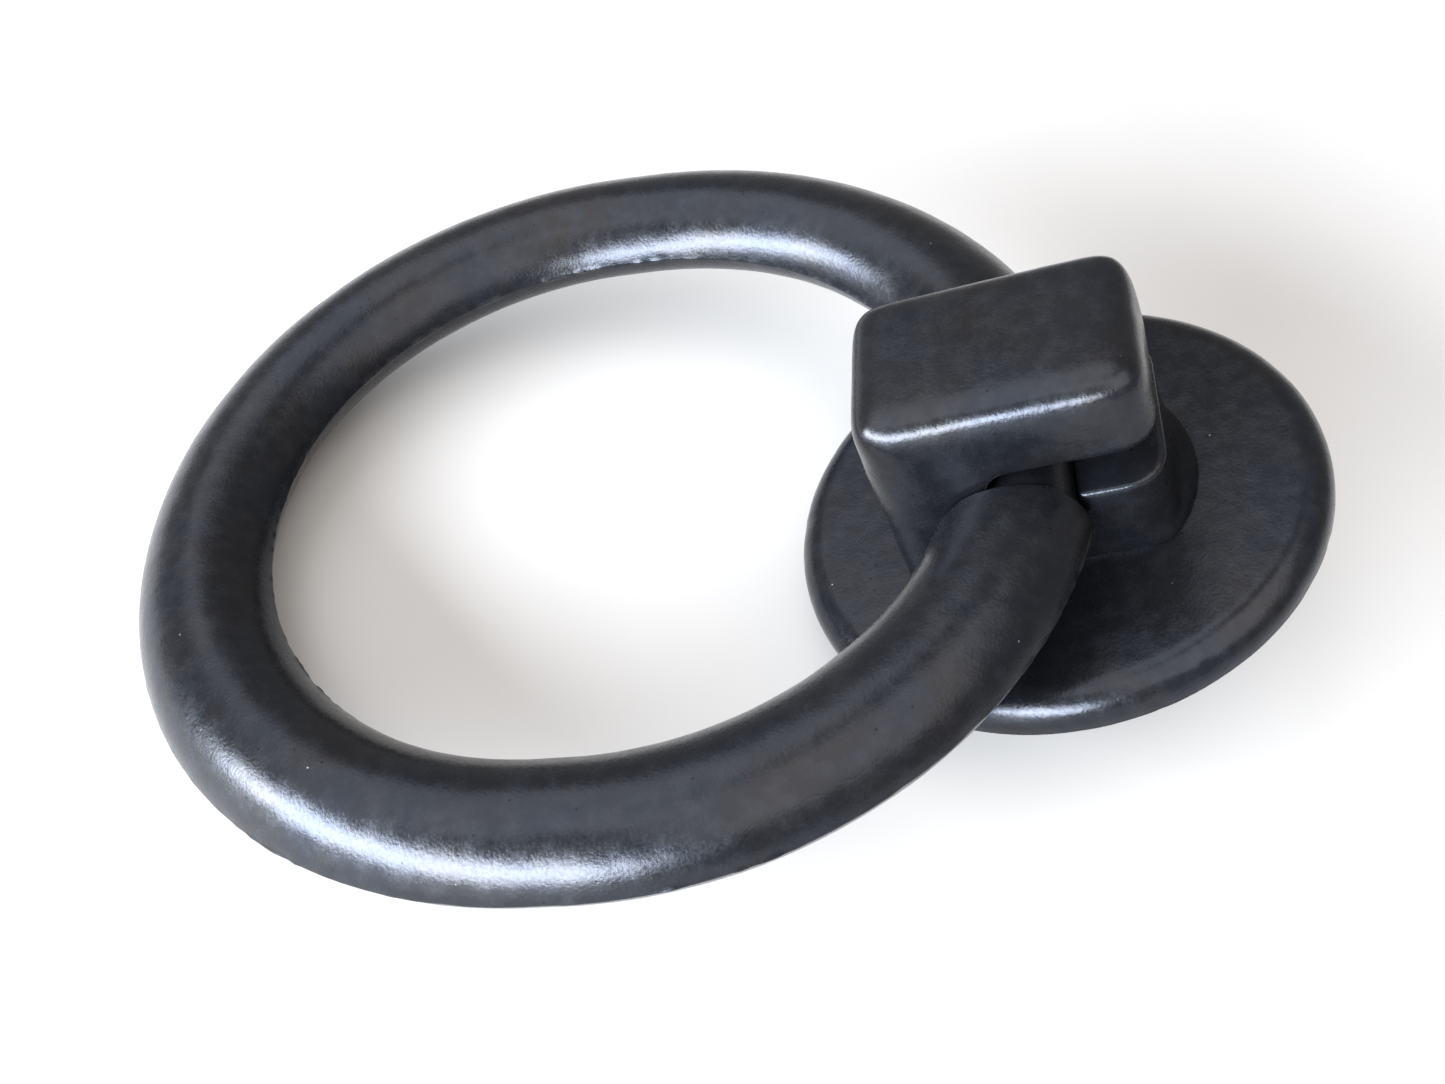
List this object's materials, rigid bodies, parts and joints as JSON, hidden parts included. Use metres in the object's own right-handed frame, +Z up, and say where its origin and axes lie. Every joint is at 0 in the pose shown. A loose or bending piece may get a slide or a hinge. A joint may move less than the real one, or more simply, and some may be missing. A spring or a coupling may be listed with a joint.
{
  "type": "door knocker",
  "caption": "Ring door knocker: a heavy iron ring of lens-shaped section swings in an open hook block that stands on a thin round rose, with a threaded stud behind.",
  "frame": {"origin": "middle of the rose's back face, on the axis of the fixing stud", "axes": "+Z up the door, +Y into the door along the fixing stud, +X along the ring's hinge"},
  "size_m": [0.1078, 0.0478, 0.1332],
  "materials": {
    "rose_iron": "dark patina, waxed, fine casting grain",
    "block_iron": "dark patina, waxed, edges rubbed bright",
    "ring_iron": "dark patina, waxed, handled smooth",
    "stud_steel": "rolled thread, dull zinc plate"
  },
  "bodies": {
    "backplate": {"rose": "rose_iron", "hook_block": "block_iron", "fixing_stud": "stud_steel"},
    "knocker_ring": {"ring": "ring_iron"}
  },
  "joints": [
    {"name": "ring_swing", "type": "hinge", "parent": "backplate", "child": "knocker_ring", "pos_m": [0, -0.013, -0.001], "axis": [-1, 0, 0], "range_deg": [-13, 173]}
  ]
}
